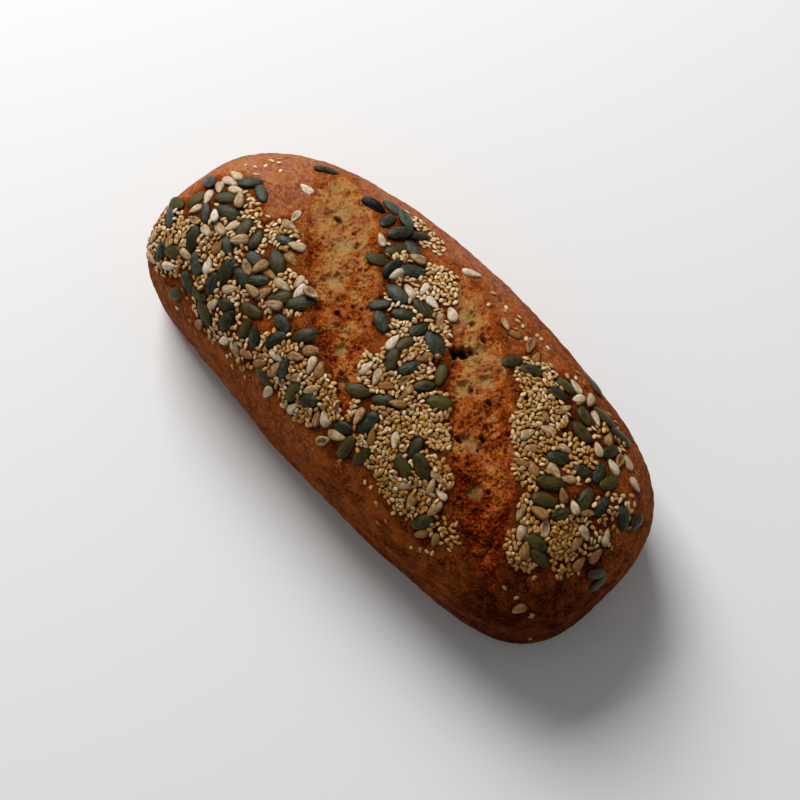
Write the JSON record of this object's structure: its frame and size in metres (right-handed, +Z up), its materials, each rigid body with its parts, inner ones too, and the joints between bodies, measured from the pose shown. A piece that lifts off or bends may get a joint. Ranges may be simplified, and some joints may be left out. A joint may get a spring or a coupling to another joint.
{
  "type": "seeded multigrain loaf",
  "caption": "Uncut oval multigrain loaf with a flat base, slanting slashes torn open in the oven, and pumpkin, sunflower and sesame seeds baked onto its crust.",
  "frame": {"origin": "middle of the bounding box at its bottom, on the flat base the loaf rests on", "axes": "+X along the loaf towards its slightly wider end, +Y across it towards its barer far side, +Z up"},
  "size_m": [0.279, 0.132, 0.0879],
  "materials": {
    "baked_crust": null
  },
  "bodies": {
    "root": {"loaf": "baked_crust"}
  },
  "joints": []
}
